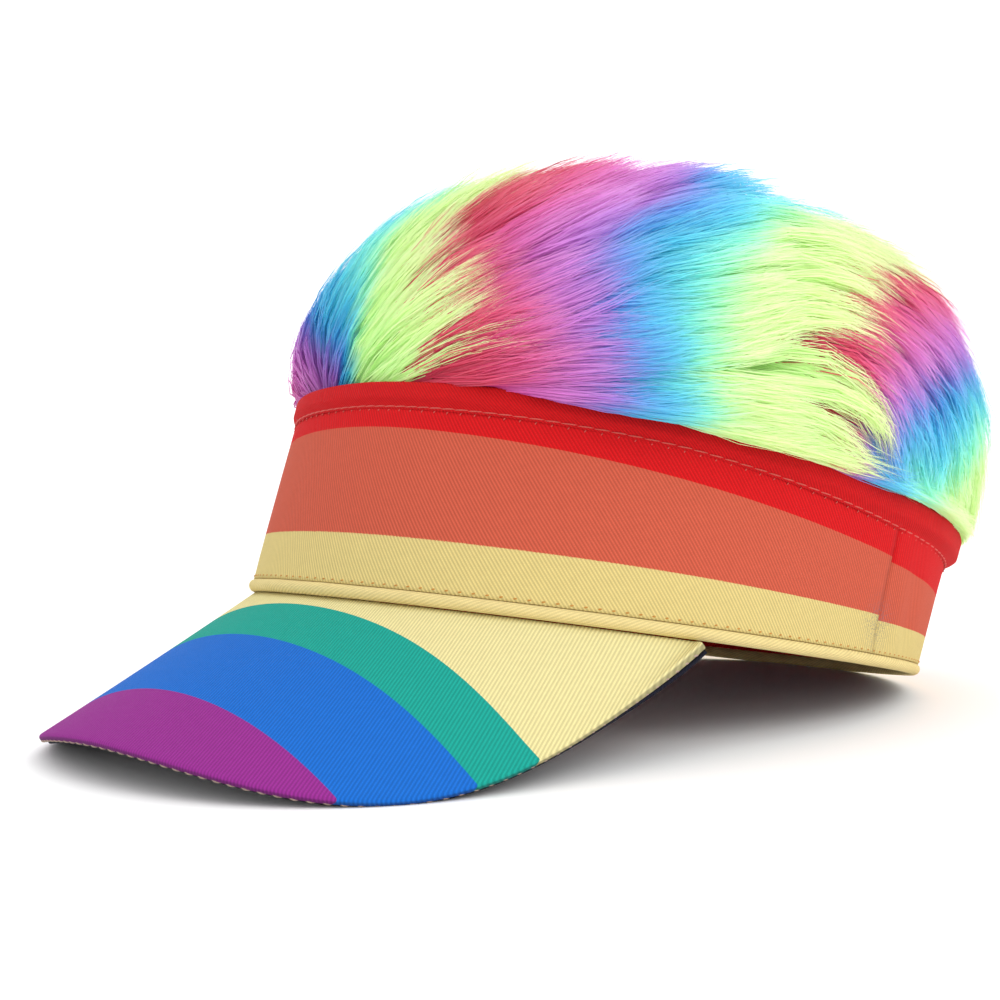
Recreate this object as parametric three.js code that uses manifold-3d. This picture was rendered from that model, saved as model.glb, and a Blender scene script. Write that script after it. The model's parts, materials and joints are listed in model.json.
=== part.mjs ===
// A sun-visor cap with a crown of long faux fur: twill head band, curved peak, backing cloth and pile.
// Millimetres, +Z up, the front of the cap faces -Y and the wearer's left is +X. Every piece is laid
// out in the band's own level frame. The cap rests on the surface z = 0 on the two low points of its
// peak and on the back of its lower roll, so the whole of it is pitched back a little.
import * as THREE from "three";
import { LoftGeometry } from "three/addons/geometries/LoftGeometry.js";
import { mergeVertices } from "three/addons/utils/BufferGeometryUtils.js";
import Module from "manifold-3d";

// Fits shared by all the pieces
const FIT_GAP = 0.3;
const SEAM_GAP = 0.6;
const JOIN_TOLERANCE = 0.05;

// Head band, measured on the outer face of the twill
const BAND_HALF_WIDTH = 83.5;
const BAND_HALF_LENGTH = 101;
const PLAN_FULLNESS = 0.022;
const BAND_HEIGHT_FRONT = 53.5;
const BAND_HEIGHT_BACK = 39.5;
const LEAN_FRONT = 11.3;
const LEAN_SIDE = -3.9;
const LEAN_BACK = -8.8;
const PANEL_WALL = 2;
const SIDE_SEAM_ANGLE = 100;
const FRONT_STATIONS = 45;
const BACK_STATIONS = 35;

// Roll of twill round the lower edge
const ROLL_HEIGHT = 3.8;
const ROLL_THICKNESS = 3.4;
const ROLL_PROUD = 0.9;
const ROLL_SIDES = 6;
const ROLL_STATIONS = 60;

// Tape folded over the upper edge
const TAPE_WIDTH = 7;
const TAPE_CLOTH = 1;
const TAPE_PUFF = 1.9;
const TAPE_STATIONS = 50;
const TAPE_OVER_PANEL = 1.4;

// Peak: reach ahead of the band, half width, and where its corners meet the band
const PEAK_REACH = 52.8;
const PEAK_HALF_WIDTH = 79;
const PEAK_CORNER_BACK = 54;
const PEAK_CORNER_ANGLE = 64;
const PEAK_SIDE_FULLNESS = 2.1;
const PEAK_FRONT_FULLNESS = 3.3;
const PEAK_SLOPE = 0.729;
const PEAK_SIDE_SLOPE = 0.033;
const PEAK_ARCH_RADIUS = 113;
const PEAK_ARCH_DEPTH = 135;
const PEAK_COVER_WALL = 2;
const PEAK_UNDERSIDE_WALL = 1;
const PEAK_UNDERSIDE_INSET = 1.2;
const PEAK_TUCK = 1.2;
const PEAK_STATIONS = 41;

// Backing cloth of the crown, a hollow dome with a hem inside the band
const CROWN_WALL = 1.8;
const CROWN_RISE = 57;
const CROWN_FULLNESS = 2.35;
const CROWN_HEM = 9;
const CROWN_STATIONS = 32;

// Outer form of the fur, which the tips of its locks reach, swept back the more the higher it is
const FUR_HALF_WIDTH = 95;
const FUR_HALF_LENGTH = 101;
const FUR_MIDDLE_Y = 7;
const FUR_MIDDLE_Z = 52;
const FUR_RISE = 79.4;
const FUR_FULLNESS = 2.55;
const FUR_SWEEP = 0.1;
const FUR_HANG = 4;
const PILE_DEPTH = 0.45;
const PILE_STATIONS = 26;

// Locks of the fur
const LOCK_LENGTH = 56;
const SHORTEST_LOCK = 12;
const LOCK_WIDTH = 22;
const LOCK_THICKNESS = 8;
const LOCK_ROWS = 5;
const LOWEST_ROW_SHARE = 0.22;
const LOCKS_IN_LOWEST_ROW = 24;
const LOCK_SWAY = 6;
const LOCK_VARIATION = 0.25;

// How far the cloth is pressed flat where the cap rests
const REST_FLAT = 0.5;

// Shares of the tape's width and puff, by angle from the front: the tape swells behind the side seam
const TAPE_TABLE = [
  { angle: 0, width: 1, puff: 0 },
  { angle: 60, width: 1, puff: 0.05 },
  { angle: 100, width: 1.1, puff: 0.3 },
  { angle: 135, width: 1.3, puff: 1 },
  { angle: 180, width: 1.3, puff: 0.8 },
];

// Shares along a lock: its depth from the backing to the outer form, and its size
const LOCK_TABLE = [
  { along: 0, depth: 0.2, size: 0.7 },
  { along: 0.35, depth: 0.66, size: 1 },
  { along: 0.7, depth: 0.88, size: 0.74 },
  { along: 1, depth: 1, size: 0.07 },
];

// Shares of the crown's rise at which its rings and those of the pile are set
const DOME_SHARES = [0.12, 0.27, 0.44, 0.62, 0.82, 1];

const wasm = await Module();
wasm.setup();

const { degToRad, radToDeg, lerp, smoothstep, seededRandom } = THREE.MathUtils;
const UP = new THREE.Vector3(0, 0, 1);

// A column of a table at an angle, eased between its rows
function fromTable(table, angle, column) {
  const turn = Math.abs(angle);
  const next = Math.max(
    1,
    table.findIndex((row) => row.angle >= turn),
  );
  const [low, high] = [table[next - 1], table[next]];
  return lerp(low[column], high[column], smoothstep(turn, low.angle, high.angle));
}

function anglesBetween(from, to, count) {
  return Array.from({ length: count }, (_, i) => lerp(from, to, i / (count - 1)));
}

function anglesRound(count) {
  return Array.from({ length: count }, (_, i) => (360 * i) / count - 180);
}

// Outline of the band seen from above: angle 0 is the front, 90 the wearer's left
function planPoint(angle) {
  const turn = degToRad(angle);
  const fullness = 1 + PLAN_FULLNESS * Math.sin(2 * turn) ** 2;
  const across = BAND_HALF_WIDTH * Math.sin(turn) * fullness;
  const along = -BAND_HALF_LENGTH * Math.cos(turn) * fullness;
  return new THREE.Vector3(across, along, 0);
}

function planNormal(angle) {
  const { x, y } = planPoint(angle);
  return new THREE.Vector3(x / BAND_HALF_WIDTH ** 2, y / BAND_HALF_LENGTH ** 2, 0).normalize();
}

function bandHeight(angle) {
  return lerp(BAND_HEIGHT_BACK, BAND_HEIGHT_FRONT, (1 + Math.cos(degToRad(angle))) / 2);
}

function bandLean(angle) {
  const c = Math.cos(degToRad(angle));
  const halfDifference = (LEAN_FRONT - LEAN_BACK) / 2;
  const endMean = (LEAN_FRONT + LEAN_BACK) / 2;
  return degToRad(LEAN_SIDE + halfDifference * c + (endMean - LEAN_SIDE) * c * c);
}

// A point of the band: up along its slope from the lower edge, and out from the twill's face
function bandPoint(angle, up, out) {
  const lean = bandLean(angle);
  const away = planNormal(angle);
  const rise = UP.clone().multiplyScalar(Math.cos(lean)).addScaledVector(away, -Math.sin(lean));
  const face = away.clone().multiplyScalar(Math.cos(lean)).addScaledVector(UP, Math.sin(lean));
  return planPoint(angle).addScaledVector(rise, up).addScaledVector(face, out);
}

// One closed solid from sections, capped at both ends or joined round into a ring
function solid(sections, ring = false) {
  const rows = ring ? [...sections, sections[0]] : sections;
  const loft = new LoftGeometry(rows, { capStart: !ring, capEnd: !ring });
  const plain = new THREE.BufferGeometry()
    .setAttribute("position", loft.getAttribute("position"))
    .setIndex(loft.index);
  const merged = mergeVertices(plain);
  return new wasm.Manifold(
    new wasm.Mesh({
      numProp: 3,
      vertProperties: new Float32Array(merged.attributes.position.array),
      triVerts: new Uint32Array(merged.index.array),
      tolerance: JOIN_TOLERANCE,
    }),
  );
}

function geometryOf(manifold) {
  const { vertProperties, triVerts } = manifold.getMesh();
  return new THREE.BufferGeometry()
    .setAttribute("position", new THREE.BufferAttribute(new Float32Array(vertProperties), 3))
    .setIndex(new THREE.BufferAttribute(new Uint32Array(triVerts), 1));
}

// One length of the twill band between two angles
function panel(from, to, stations) {
  const foot = ROLL_HEIGHT + FIT_GAP;
  return solid(
    anglesBetween(from, to, stations).map((angle) => {
      const head = bandHeight(angle) - TAPE_OVER_PANEL;
      return [
        bandPoint(angle, foot, -PANEL_WALL),
        bandPoint(angle, head, -PANEL_WALL),
        bandPoint(angle, head, 0),
        bandPoint(angle, foot, 0),
      ];
    }),
  );
}

// Angles at which the front and back panels end, either side of the side seam
function seamAngles() {
  const halfGap = radToDeg(SEAM_GAP / 2 / BAND_HALF_WIDTH);
  return [SIDE_SEAM_ANGLE - halfGap, SIDE_SEAM_ANGLE + halfGap];
}

function lowerRoll() {
  const middleOut = ROLL_PROUD - ROLL_THICKNESS / 2;
  return solid(
    anglesRound(ROLL_STATIONS).map((angle) =>
      Array.from({ length: ROLL_SIDES }, (_, i) => {
        const turn = (2 * Math.PI * (i + 0.5)) / ROLL_SIDES;
        const up = (ROLL_HEIGHT / 2) * (1 + Math.cos(turn));
        return bandPoint(angle, up, middleOut + (ROLL_THICKNESS / 2) * Math.sin(turn));
      }),
    ),
    true,
  );
}

// Where the tape's two legs lie: its foot, its top and the faces either side of the panel
function tapeAt(angle) {
  const top = bandHeight(angle);
  return {
    top,
    foot: top - TAPE_WIDTH * fromTable(TAPE_TABLE, angle, "width"),
    clear: top - TAPE_OVER_PANEL + FIT_GAP,
    face: FIT_GAP + TAPE_CLOTH,
    puff: TAPE_PUFF * fromTable(TAPE_TABLE, angle, "puff"),
    back: -PANEL_WALL - FIT_GAP,
  };
}

function upperTape() {
  return solid(
    anglesRound(TAPE_STATIONS).map((angle) => {
      const { top, foot, clear, face, puff, back } = tapeAt(angle);
      const swell = face + puff;
      return [
        bandPoint(angle, foot, FIT_GAP),
        bandPoint(angle, clear, FIT_GAP),
        bandPoint(angle, clear, back),
        bandPoint(angle, foot, back),
        bandPoint(angle, foot, back - TAPE_CLOTH),
        bandPoint(angle, lerp(foot, top, 0.85), back - TAPE_CLOTH),
        bandPoint(angle, top, back),
        bandPoint(angle, top, FIT_GAP + puff / 2),
        bandPoint(angle, lerp(foot, top, 0.85), swell),
        bandPoint(angle, lerp(foot, top, 0.3), swell),
        bandPoint(angle, foot, face),
      ];
    }),
    true,
  );
}

// Height of the peak's upper face over a point of its outline
function peakHeight(x, y) {
  const side = x / PEAK_HALF_WIDTH;
  const slope = PEAK_SLOPE + PEAK_SIDE_SLOPE * side * side;
  const arch = PEAK_ARCH_DEPTH * (1 - Math.sqrt(1 - (x / PEAK_ARCH_RADIUS) ** 2));
  return (y + BAND_HALF_LENGTH) * slope - arch - FIT_GAP;
}

// The peak's free edge: shares -1 and 1 are its corners at the band, 0 the middle of its front
function peakOutline(share) {
  const turn = (Math.PI / 2) * share;
  const cornerY = PEAK_CORNER_BACK - BAND_HALF_LENGTH;
  const spread = Math.abs(Math.sin(turn)) ** (2 / PEAK_SIDE_FULLNESS);
  const forward = Math.max(Math.cos(turn), 0) ** (2 / PEAK_FRONT_FULLNESS);
  const x = PEAK_HALF_WIDTH * Math.sign(share) * spread;
  const y = cornerY - (PEAK_CORNER_BACK + PEAK_REACH) * forward;
  const cornerLift = peakHeight(PEAK_HALF_WIDTH, cornerY) + FIT_GAP;
  return new THREE.Vector3(x, y, peakHeight(x, y) - cornerLift * Math.abs(share) ** 8);
}

// A point of the peak: along from the band to the free edge, and down from its upper face
function peakPoint(share, along, down) {
  const onFace = (s, a) => {
    const root = bandPoint(PEAK_CORNER_ANGLE * s, 0, -PEAK_TUCK);
    root.z = -FIT_GAP;
    return root.lerp(peakOutline(s), a);
  };
  const step = 0.01;
  const across = onFace(Math.min(share + step, 1), along);
  across.sub(onFace(Math.max(share - step, -1), along));
  const outward = onFace(share, 1).sub(onFace(share, 0));
  const normal = outward.cross(across).normalize();
  return onFace(share, along).addScaledVector(normal, -down);
}

// A layer of the peak between two depths, its rounded edge set in by a length
function peakLayer(top, wall, inset) {
  const steps = [0, 0.33, 0.67, 1];
  return solid(
    anglesBetween(-90, 90, PEAK_STATIONS).map((angle) => {
      const share = Math.sin(degToRad(angle));
      const length = peakPoint(share, 1, 0).distanceTo(peakPoint(share, 0, 0));
      const edge = 1 - Math.min(inset / length, 0.4);
      const shoulder = edge - Math.min(wall / 2 / length, 0.2);
      return [
        ...steps.map((step) => peakPoint(share, step * shoulder, top)),
        peakPoint(share, edge, top + wall / 2),
        ...steps.toReversed().map((step) => peakPoint(share, step * shoulder, top + wall)),
      ];
    }),
  );
}

// How deep inside the twill's face the crown's outer face begins
const CROWN_INSET = PANEL_WALL + TAPE_CLOTH + 2 * FIT_GAP;

// The crown's outer face set in by a depth: share 0 is the band's upper edge, 1 the top
function crownPoint(angle, share, depth) {
  const rim = bandPoint(angle, bandHeight(angle), -CROWN_INSET - depth);
  const turn = (Math.PI / 2) * share;
  const spread = Math.max(Math.cos(turn), 0.04) ** (2 / CROWN_FULLNESS);
  const rise = Math.sin(turn) ** (2 / CROWN_FULLNESS);
  const topZ = bandPoint(90, bandHeight(90), 0).z + CROWN_RISE - depth;
  return new THREE.Vector3(rim.x * spread, rim.y * spread, lerp(rim.z, topZ, rise));
}

// Solid dome under the crown's face set in by a depth, down to a hem below the band's upper edge
function dome(depth, hem, stations) {
  const angles = anglesRound(stations);
  return solid([
    angles.map((angle) => bandPoint(angle, bandHeight(angle) - hem, -CROWN_INSET - depth)),
    ...[0, ...DOME_SHARES].map((share) => angles.map((angle) => crownPoint(angle, share, depth))),
  ]);
}

function crownBacking() {
  return dome(0, CROWN_HEM, CROWN_STATIONS).subtract(
    dome(CROWN_WALL, 2 * CROWN_HEM, CROWN_STATIONS),
  );
}

const furMiddle = new THREE.Vector3(0, FUR_MIDDLE_Y, FUR_MIDDLE_Z);

// How far a rounded box of half sizes reaches from its middle along a direction
function reach(direction, halfWidth, halfLength, halfHeight, fullness) {
  const sum =
    Math.abs(direction.x / halfWidth) ** fullness +
    Math.abs(direction.y / halfLength) ** fullness +
    Math.abs(direction.z / halfHeight) ** fullness;
  return sum ** (-1 / fullness);
}

// A point of the fur along a direction: depth 0 is at the backing, 1 on the outer form
function furPoint(direction, depth) {
  const side = bandPoint(90, bandHeight(90), -CROWN_INSET);
  const end = crownPoint(direction.y < 0 ? 0 : 180, 0, 0);
  const inner = reach(
    direction,
    side.x,
    Math.abs(end.y - FUR_MIDDLE_Y),
    side.z + CROWN_RISE - FUR_MIDDLE_Z,
    CROWN_FULLNESS,
  );
  const swept = direction.clone();
  swept.y -= FUR_SWEEP * direction.z;
  const outer = reach(swept, FUR_HALF_WIDTH, FUR_HALF_LENGTH, FUR_RISE, FUR_FULLNESS);
  return direction.clone().multiplyScalar(lerp(inner, outer, depth)).add(furMiddle);
}

function outwards(point) {
  return point.clone().sub(furMiddle).normalize();
}

// Which way the fur is combed: up over the forehead, back along the sides, down at the back
function combing(point) {
  const along = (point.y - FUR_MIDDLE_Y) / FUR_HALF_LENGTH;
  const lift = lerp(1.7, 0.3, smoothstep(along, -1, -0.7));
  const drop = 3 * smoothstep(along, -0.6, 0.9);
  const normal = outwards(point);
  const wanted = new THREE.Vector3(0, 1, lift - drop);
  return wanted.addScaledVector(normal, -wanted.dot(normal)).normalize();
}

// How far a point lies above the line that the fur may hang down to, below the band's upper edge
function aboveHang(point) {
  const [front, back] = [0, 180].map((angle) => bandPoint(angle, bandHeight(angle), 0));
  const edge = lerp(front.z, back.z, (point.y - front.y) / (back.y - front.y));
  return point.z - edge + FUR_HANG;
}

// One tapered lock, rooted in the pile and laid over the locks behind it
function lock(root, length, width, sway) {
  const place = root.clone();
  let walked = 0;
  const sections = LOCK_TABLE.map(({ along, depth, size }) => {
    place.addScaledVector(combing(place), (along - walked) * length);
    walked = along;
    const normal = outwards(place);
    const centre = furPoint(normal, depth);
    const side = combing(centre).cross(normal).normalize();
    centre.addScaledVector(side, sway * along * along);
    const ridge = centre.clone().addScaledVector(normal, (LOCK_THICKNESS / 2) * size);
    centre.addScaledVector(normal, (-LOCK_THICKNESS / 2) * size);
    const half = (width / 2) * size;
    return [
      centre.clone().addScaledVector(side, half),
      centre.clone().addScaledVector(side, -half),
      ridge,
    ];
  });
  const tip = sections.at(-1)[0];
  const tooLow = aboveHang(tip) < 0 && length > SHORTEST_LOCK;
  return tooLow ? lock(root, length * 0.85, width, sway) : solid(sections);
}

// The locks of the wearer's left half, row by row from the band's edge to the top
function leftLocks() {
  const locks = [];
  for (let row = 0; row < LOCK_ROWS; row += 1) {
    const share = (row + LOWEST_ROW_SHARE) / LOCK_ROWS;
    const around = LOCKS_IN_LOWEST_ROW * Math.cos((share * Math.PI) / 2);
    const count = Math.max(2, Math.round(around / 2));
    for (let i = 0; i < count; i += 1) {
      const angle = (180 * (i + (row % 2 ? 0.25 : 0.75))) / count;
      const vary = () => 1 + LOCK_VARIATION * (2 * seededRandom() - 1);
      const sway = LOCK_SWAY * (vary() - 1) * 4;
      locks.push(lock(crownPoint(angle, share, 0), LOCK_LENGTH * vary(), LOCK_WIDTH * vary(), sway));
    }
  }
  return locks;
}

// Solid pile under the locks, a share of the way out from the backing
function pile() {
  const angles = anglesRound(PILE_STATIONS);
  const foot = angles.map((angle) => {
    const edge = bandPoint(angle, bandHeight(angle) + SEAM_GAP, 0);
    return furPoint(outwards(edge), PILE_DEPTH);
  });
  return solid([
    foot,
    ...DOME_SHARES.map((share) =>
      angles.map((angle) => furPoint(outwards(crownPoint(angle, share, 0)), PILE_DEPTH)),
    ),
  ]);
}

// The room that the band and its tape take up, with a gap all round
function bandRoom() {
  return solid(
    anglesRound(TAPE_STATIONS).map((angle) => {
      const { top, foot, face, puff } = tapeAt(angle);
      const inside = -CROWN_INSET - CROWN_WALL;
      const outside = face + puff + FIT_GAP;
      return [
        bandPoint(angle, foot - 2 * CROWN_HEM, inside),
        bandPoint(angle, top + FIT_GAP, inside),
        bandPoint(angle, top + FIT_GAP, outside),
        bandPoint(angle, foot - 2 * CROWN_HEM, outside),
      ];
    }),
    true,
  );
}

// The pile with its locks, cut clear of the crown and the band; its outer skin alone is kept, so
// that pockets closed in between locks are filled
function fur() {
  seededRandom(8);
  const left = leftLocks();
  const right = left.map((piece) => piece.mirror([1, 0, 0]));
  const cut = wasm.Manifold.union([pile(), ...left, ...right])
    .subtract(dome(-FIT_GAP, 2 * CROWN_HEM, CROWN_STATIONS))
    .subtract(bandRoom());
  return cut.decompose().reduce((most, skin) => (skin.volume() > most.volume() ? skin : most));
}

// How low a solid's lowest corner lies with the cap pitched back by an angle
function lowest(manifold, pitch) {
  const { vertProperties } = manifold.getMesh();
  let low = Infinity;
  for (let i = 0; i < vertProperties.length; i += 3) {
    const [y, z] = [vertProperties[i + 1], vertProperties[i + 2]];
    low = Math.min(low, z * Math.cos(pitch) - y * Math.sin(pitch));
  }
  return low;
}

// The pitch at which the peak in front and the roll behind are equally low
function restPitch(front, back) {
  let [low, high] = [0, Math.PI / 4];
  for (let i = 0; i < 40; i += 1) {
    const pitch = (low + high) / 2;
    const frontIsLower = lowest(front, pitch) < lowest(back, pitch);
    [low, high] = frontIsLower ? [pitch, high] : [low, pitch];
  }
  return low;
}

const [frontEnd, backStart] = seamAngles();
const undersideTop = PEAK_COVER_WALL + FIT_GAP;

// Every piece with the colour of its cloth; pressed marks those that reach the surface
const pieces = [
  { name: "front_panel", solid: panel(-frontEnd, frontEnd, FRONT_STATIONS), color: 0xd8604a },
  { name: "back_panel", solid: panel(backStart, 360 - backStart, BACK_STATIONS), color: 0xd8604a },
  { name: "upper_tape", solid: upperTape(), color: 0xc81e26 },
  { name: "lower_roll", solid: lowerRoll(), color: 0xe8d07c, pressed: true },
  { name: "peak_cover", solid: peakLayer(0, PEAK_COVER_WALL, 0), color: 0x2f72cc, pressed: true },
  {
    name: "peak_underside",
    solid: peakLayer(undersideTop, PEAK_UNDERSIDE_WALL, PEAK_UNDERSIDE_INSET),
    color: 0x1b1d2c,
    pressed: true,
  },
  { name: "crown_backing", solid: crownBacking(), color: 0x6a6f86 },
  { name: "fur_locks", solid: fur(), color: 0x9fd65a },
];

const piece = (name) => pieces.find((entry) => entry.name === name).solid;
const pitch = restPitch(piece("peak_underside"), piece("lower_roll"));
const surface = lowest(piece("lower_roll"), pitch) + REST_FLAT;
const surfaceNormal = [0, -Math.sin(pitch), Math.cos(pitch)];

const cap = new THREE.Group();
cap.rotation.x = -pitch;
for (const { name, solid: body, color, pressed } of pieces) {
  const cloth = pressed ? body.trimByPlane(surfaceNormal, surface) : body;
  const material = new THREE.MeshStandardMaterial({ color, roughness: 0.85, metalness: 0 });
  const mesh = new THREE.Mesh(geometryOf(cloth), material);
  mesh.name = name;
  cap.add(mesh);
}

const group = new THREE.Group();
group.add(cap);
group.updateMatrixWorld(true);
const middle = new THREE.Box3().setFromObject(group, true).getCenter(new THREE.Vector3());
cap.position.set(-middle.x, -middle.y, -surface);

export default group;
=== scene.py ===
import json
import math

import bmesh
import bpy
import numpy as np
from mathutils import Matrix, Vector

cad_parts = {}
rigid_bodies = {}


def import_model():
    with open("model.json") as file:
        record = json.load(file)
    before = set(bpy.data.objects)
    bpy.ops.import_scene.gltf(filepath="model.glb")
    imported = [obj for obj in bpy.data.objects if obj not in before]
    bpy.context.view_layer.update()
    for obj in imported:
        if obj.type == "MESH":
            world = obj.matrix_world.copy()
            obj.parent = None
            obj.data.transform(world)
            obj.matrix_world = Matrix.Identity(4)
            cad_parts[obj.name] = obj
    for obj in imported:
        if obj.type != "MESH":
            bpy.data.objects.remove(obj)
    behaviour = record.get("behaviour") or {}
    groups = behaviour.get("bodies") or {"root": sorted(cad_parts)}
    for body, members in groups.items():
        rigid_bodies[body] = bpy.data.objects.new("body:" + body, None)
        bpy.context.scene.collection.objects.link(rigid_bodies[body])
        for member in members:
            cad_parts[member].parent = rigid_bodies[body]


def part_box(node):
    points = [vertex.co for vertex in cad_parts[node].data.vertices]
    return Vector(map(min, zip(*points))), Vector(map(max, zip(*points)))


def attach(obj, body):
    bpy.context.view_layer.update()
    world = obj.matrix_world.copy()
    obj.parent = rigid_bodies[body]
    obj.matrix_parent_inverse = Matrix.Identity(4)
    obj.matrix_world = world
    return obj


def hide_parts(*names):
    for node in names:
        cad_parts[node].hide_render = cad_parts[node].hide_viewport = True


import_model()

# Metres, in the frame of the CAD. Shapes are laid out in the cap's own level frame, where the
# front faces -Y and angle 0 is the front, 90 the wearer's left; to_rest() lays them at rest.
MM = 0.001
UP = np.array([0.0, 0.0, 1.0])
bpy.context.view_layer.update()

# How far the cap is pitched back at rest, in degrees
REST_PITCH = 11.036

# Head band, on the outer face of the twill
FIT_GAP = 0.3 * MM
SEAM_GAP = 0.6 * MM
SEAM_SEEN_GAP = 0.16 * MM
BAND_HALF_WIDTH = 83.5 * MM
BAND_HALF_LENGTH = 101 * MM
PLAN_FULLNESS = 0.022
BAND_HEIGHT_FRONT = 53.5 * MM
BAND_HEIGHT_BACK = 39.5 * MM
LEAN_FRONT = 11.3
LEAN_SIDE = -3.9
LEAN_BACK = -8.8
PANEL_WALL = 2 * MM
SIDE_SEAM_ANGLE = 100
ROLL_HEIGHT = 3.8 * MM
ROLL_THICKNESS = 3.4 * MM
ROLL_PROUD = 0.9 * MM
ROLL_SEEN_HEIGHT = 3.3 * MM
TAPE_CLOTH = 1 * MM
TAPE_PUFF = 1.9 * MM
TAPE_OVER_PANEL = 1.4 * MM
TAPE_OFF_BAND = 0.2 * MM
TAPE_SHOULDER = 0.86
TAPE_PRESSED = 0.75

# Peak
PEAK_REACH = 52.8 * MM
PEAK_HALF_WIDTH = 79 * MM
PEAK_CORNER_BACK = 54 * MM
PEAK_CORNER_ANGLE = 64
PEAK_SIDE_FULLNESS = 2.1
PEAK_FRONT_FULLNESS = 3.3
PEAK_SLOPE = 0.729
PEAK_SIDE_SLOPE = 0.033
PEAK_ARCH_RADIUS = 113 * MM
PEAK_ARCH_DEPTH = 135 * MM
PEAK_COVER_WALL = 2 * MM
PEAK_UNDERSIDE_WALL = 1 * MM
PEAK_UNDERSIDE_INSET = 1.2 * MM
PEAK_TUCK = 1.2 * MM
PEAK_STRETCH = 1.24

# Backing of the crown, and the outer form of the fur
CROWN_WALL = 1.8 * MM
CROWN_RISE = 57 * MM
CROWN_FULLNESS = 2.35
CROWN_HEM = 9 * MM
CROWN_INSET = PANEL_WALL + TAPE_CLOTH + 2 * FIT_GAP
FUR_HALF_WIDTH = 95 * MM
FUR_HALF_LENGTH = 101 * MM
FUR_MIDDLE = np.array([0, 7, 52]) * MM
FUR_RISE = 79.4 * MM
FUR_FULLNESS = 2.55
FUR_SWEEP = 0.1
FUR_HANG = 0.5 * MM
PILE_DEPTH = 0.28

# Printed stripes: shares of the band's height, and where each border crosses the peak's middle
# line, ahead of the band's middle, with how much it curves back to the sides, per metre
YELLOW_SHARE = 0.294
RED_SHARE_FRONT = 0.81
RED_SHARE_BACK = 0.516
BACK_STRIPE_DROP = 1.4 * MM
PEAK_STRIPES = [
    {"y": -136.3 * MM, "curve": 1.45},
    {"y": -115.6 * MM, "curve": 1.70},
    {"y": -103.3 * MM, "curve": 1.82},
]

# Twill, and the stitches in millimetres: how far apart, how long and how thick they are, how far
# they stand out from their face, and how much each leans
TWILL_PITCH = 0.82 * MM
THREAD_TURNS = 1.6
THREAD_GRAIN = 900.0
BAND_UNEVEN = 0.006
PEAK_UNEVEN = 0.12 * MM
TWILL_LEAN = 38
ROLL_LEAN = 60
PEAK_LEAN = 17
LINING_LEAN = 30
LINING_PITCH = 0.7 * MM
KNIT_PITCH = 1.6 * MM
STITCHES = {
    "tape_stitches": {"pitch": 4.1, "length": 3.9, "thick": 0.36, "out": 0.22, "slant": 0.05},
    "tape_ticks": {"pitch": 4.1, "length": 0.7, "thick": 0.3, "out": 0.15, "slant": 1.6},
    "roll_stitches": {"pitch": 3.3, "length": 1.1, "thick": 0.4, "out": 0.05, "slant": 0.2},
    "peak_stitches": {"pitch": 3.5, "length": 2.4, "thick": 0.6, "out": -0.25, "slant": 0.35},
}
TICKS_BELOW = 1.0 * MM
ROLL_STITCH_RISE = 0.8 * MM
PEAK_STITCH_DEPTH = 0.78
STITCH_DIP = 0.55

# Grey smudges on the band: where they are on the cloth's map, and how far they reach
SMUDGE_PLACE = (164.0 * MM, 11.0 * MM, 0.0)
SMUDGE_REACH = 11 * MM
SMUDGE_GRAIN = 170.0
SMUDGE_STRENGTH = 0.6

# How far the stripes turn navy round the peak's folded edge, between two shares of its wall
EDGE_DARKENING = 0.5
EDGE_START = 0.12
EDGE_END = 0.4

# Fur: locks, wisps within them and hairs within those, which drift, wave and turn by themselves
# and stand closer next to the tape
LOCKS = 260
WISPS = 4600
HAIRS_PER_MESH = 18500
HAIR_MESHES = 5
HAIR_LENGTH = 46 * MM
HAIR_WIDTH = 0.27 * MM
HAIR_DRIFT = 1.5 * MM
HAIR_WAVE = 0.5 * MM
HAIR_TILT = 0.55
EDGE_THICKNESS = 2.5
SOFT_SHADING = 0.7
# How strongly the fur shines in its own tint: a painted glow that brightens it
PAINTED_GLOW = 0.1
LOCAL_DYE = 0.7
LAST_DYE = 0.985
SEED = 20

# Along a hair: how deep it lies between the backing and the outer form, its width, its shade
# and how pale it is. The shade is painted: darker at the root, deep in the pile, and lighter
# towards the tip as a painted highlight. The paleness at the tip is a painted sheen
HAIR_TABLE = [
    {"along": 0.00, "depth": 0.10, "width": 0.8, "shade": 0.72, "pale": 0.00},
    {"along": 0.12, "depth": 0.46, "width": 1.0, "shade": 0.92, "pale": 0.02},
    {"along": 0.30, "depth": 0.74, "width": 1.0, "shade": 1.06, "pale": 0.05},
    {"along": 0.55, "depth": 0.88, "width": 0.9, "shade": 1.14, "pale": 0.09},
    {"along": 0.80, "depth": 0.95, "width": 0.6, "shade": 1.20, "pale": 0.15},
    {"along": 1.00, "depth": 0.99, "width": 0.0, "shade": 1.24, "pale": 0.24},
]
HAIR_STEPS = np.array([row["along"] for row in HAIR_TABLE])
HAIR_POINTS = len(HAIR_STEPS)

# How the pile is combed: its rise over its run to the back, from the forehead to the nape
COMB_TABLE = [
    {"along": -1.00, "rise": 0.85},
    {"along": -0.92, "rise": 0.75},
    {"along": -0.84, "rise": 0.55},
    {"along": -0.75, "rise": 0.4},
    {"along": -0.62, "rise": 0.2},
    {"along": -0.48, "rise": 0.05},
    {"along": -0.28, "rise": -0.15},
    {"along": -0.10, "rise": -0.5},
    {"along": 0.10, "rise": -0.95},
    {"along": 0.40, "rise": -1.9},
    {"along": 0.80, "rise": -3.0},
]

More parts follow.
